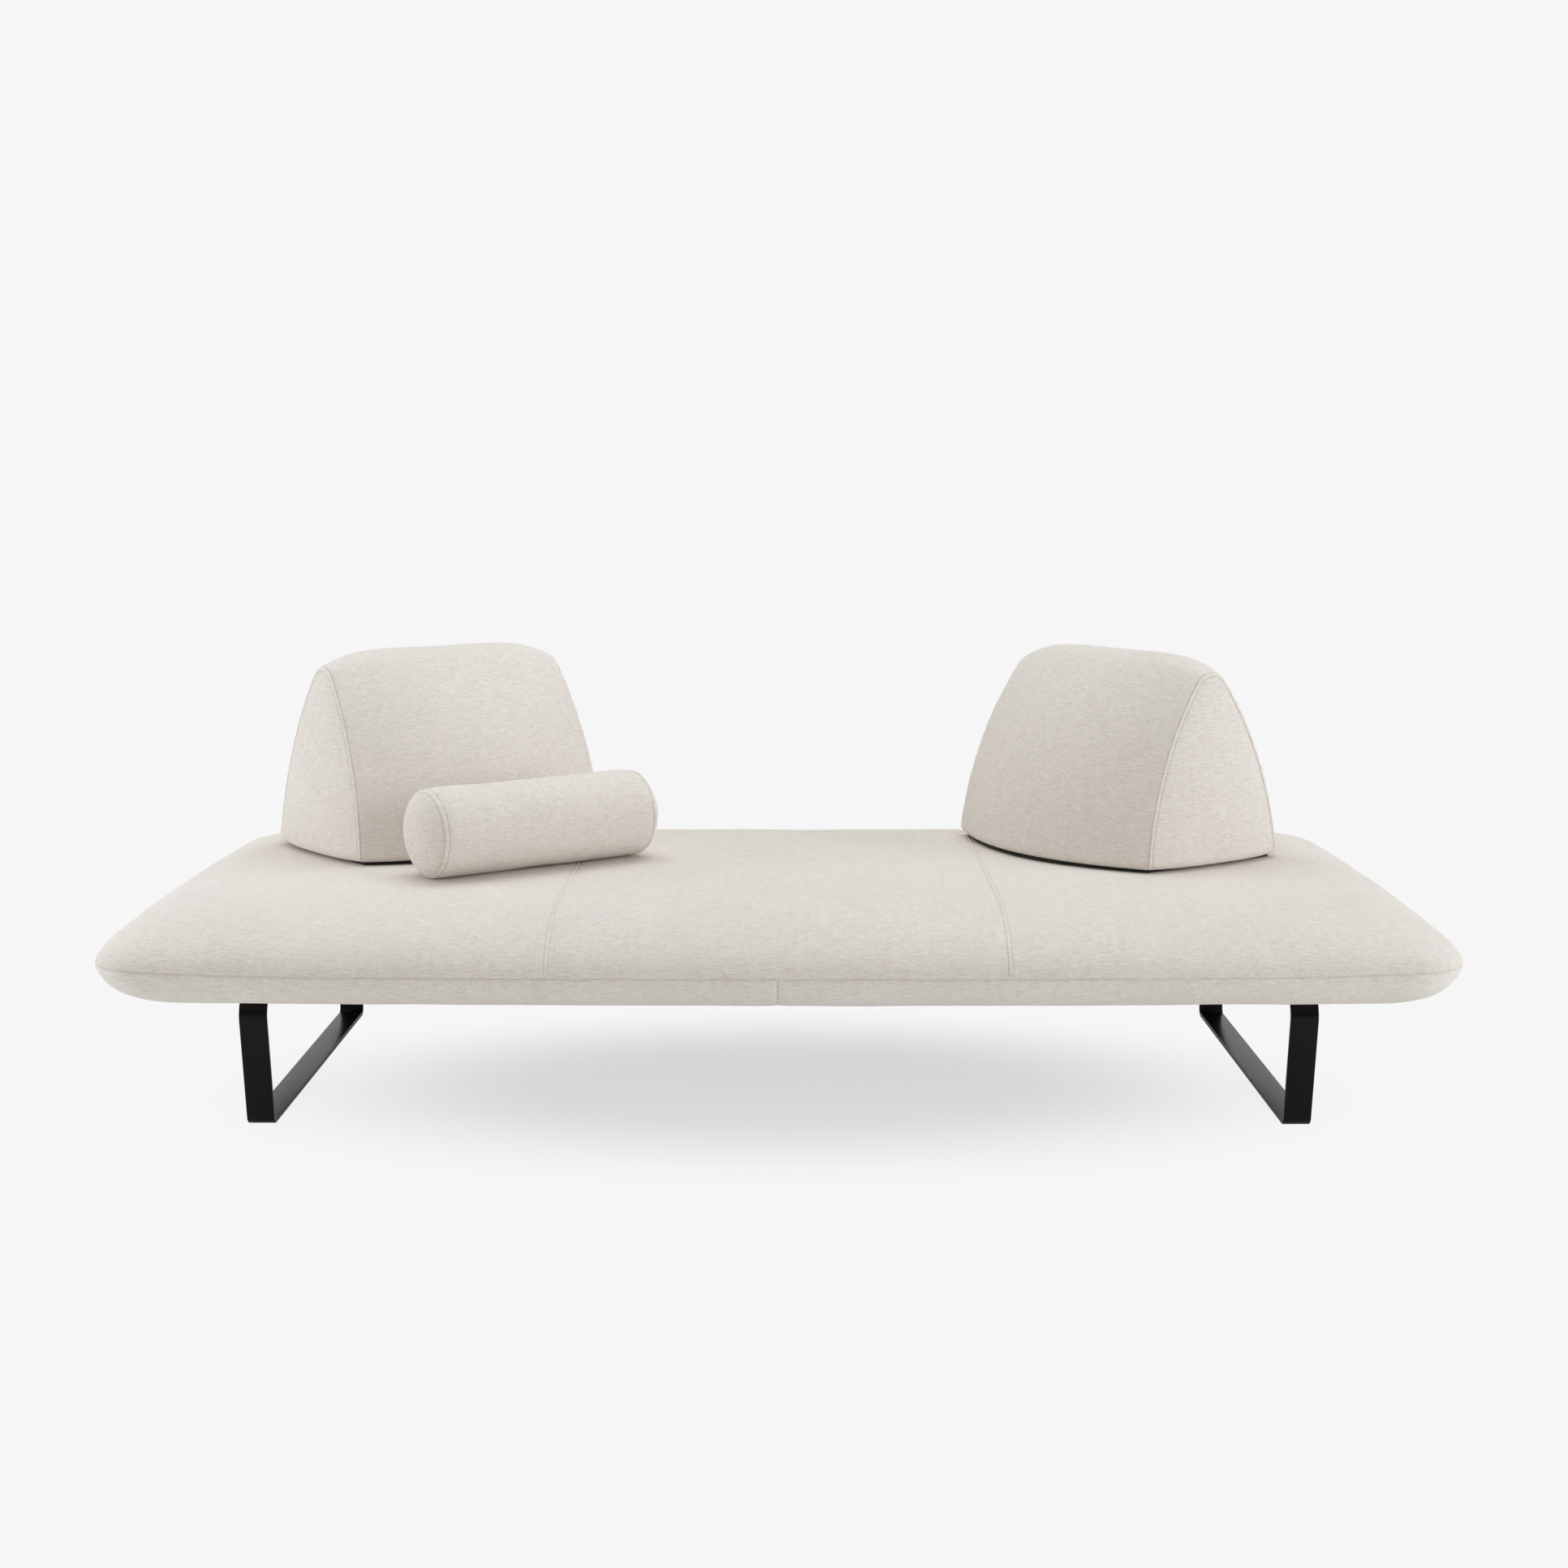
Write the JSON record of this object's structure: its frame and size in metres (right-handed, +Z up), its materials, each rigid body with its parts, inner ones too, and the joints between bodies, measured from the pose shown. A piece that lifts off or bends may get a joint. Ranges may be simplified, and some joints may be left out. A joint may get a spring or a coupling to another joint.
{
  "type": "outdoor sofa",
  "caption": "Long upholstered outdoor sofa platform on bent flat-bar sled legs, with loose weighted backrest cushions and a bolster that move on the seat.",
  "frame": {"origin": "on the floor, under the centre of the seat", "axes": "+X along the seat to the right and +Y to the rear as seen from the front, +Z up"},
  "size_m": [2.428, 1.2, 0.8308],
  "materials": {
    "cover_fabric": "woven outdoor fabric, oatmeal melange",
    "foam": "open-cell foam",
    "leg_coat": "satin powder coat, near black",
    "frame_paint": "powder coat",
    "zinc_steel": "zinc plated",
    "glide_plastic": "matt",
    "elastic_webbing": "woven elastic",
    "dust_cloth": "non-woven",
    "base_board": "plywood",
    "grip_sheet": "matt",
    "ballast_steel": "painted"
  },
  "bodies": {
    "seat": {"front_rail": "frame_paint", "rear_rail": "frame_paint", "left_end_rail": "frame_paint", "right_end_rail": "frame_paint", "left_cross_rail": "frame_paint", "centre_cross_rail": "frame_paint", "right_cross_rail": "frame_paint", "sled_leg_left": "leg_coat", "sled_leg_right": "leg_coat", "leg_screws": "zinc_steel", "leg_washers": "zinc_steel", "rivet_nuts": "zinc_steel", "leg_spacer_plates": "zinc_steel", "floor_glides": "glide_plastic", "webbing_straps": "elastic_webbing", "webbing_clips": "zinc_steel", "seat_cover_left": "cover_fabric", "seat_cover_centre": "cover_fabric", "seat_cover_right": "cover_fabric", "seat_band_left": "cover_fabric", "seat_band_right": "cover_fabric", "underside_cloth": "dust_cloth", "seat_foam": "foam", "edge_foam_front": "foam", "edge_foam_rear": "foam", "edge_foam_left": "foam", "edge_foam_right": "foam"},
    "left_backrest_weight": {"left_backrest_ballast": "ballast_steel"},
    "left_backrest": {"left_backrest_cover": "cover_fabric", "left_backrest_side_left": "cover_fabric", "left_backrest_side_right": "cover_fabric", "left_backrest_foam": "foam", "left_backrest_board": "base_board", "left_backrest_grip_pad": "grip_sheet"},
    "right_backrest_weight": {"right_backrest_ballast": "ballast_steel"},
    "right_backrest": {"right_backrest_cover": "cover_fabric", "right_backrest_side_left": "cover_fabric", "right_backrest_side_right": "cover_fabric", "right_backrest_foam": "foam", "right_backrest_board": "base_board", "right_backrest_grip_pad": "grip_sheet"},
    "bolster_filling": {"bolster_core": "foam"},
    "bolster": {"bolster_cover": "cover_fabric", "bolster_end_left": "cover_fabric", "bolster_end_right": "cover_fabric"}
  },
  "joints": [
    {"name": "left_backrest_slide", "type": "slide", "parent": "seat", "child": "left_backrest_weight", "axis": [1, 0, 0], "range_m": [-0.12, 0.03]},
    {"name": "left_backrest_turn", "type": "hinge", "parent": "left_backrest_weight", "child": "left_backrest", "pos_m": [-0.711, 0.264, 0.442], "axis": [0, 0, 1], "range_deg": [-20, 15]},
    {"name": "right_backrest_slide", "type": "slide", "parent": "seat", "child": "right_backrest_weight", "axis": [1, 0, 0], "range_m": [-0.4, 0.1]},
    {"name": "right_backrest_turn", "type": "hinge", "parent": "right_backrest_weight", "child": "right_backrest", "pos_m": [0.692, 0.202, 0.442], "axis": [0, 0, 1], "range_deg": [-35, 55]},
    {"name": "bolster_travel", "type": "slide", "parent": "seat", "child": "bolster_filling", "axis": [0.6018, -0.7986, 0], "range_m": [-0.02, 0.25]},
    {"name": "bolster_roll", "type": "hinge", "parent": "bolster_filling", "child": "bolster", "pos_m": [-0.483, -0.045, 0.5043], "axis": [0.7986, 0.6018, 0], "range_deg": [-13.2, 164.7]}
  ],
  "couplings": [
    {"joint": "bolster_roll", "follows": "bolster_travel", "rad_per_m": 11.494}
  ]
}
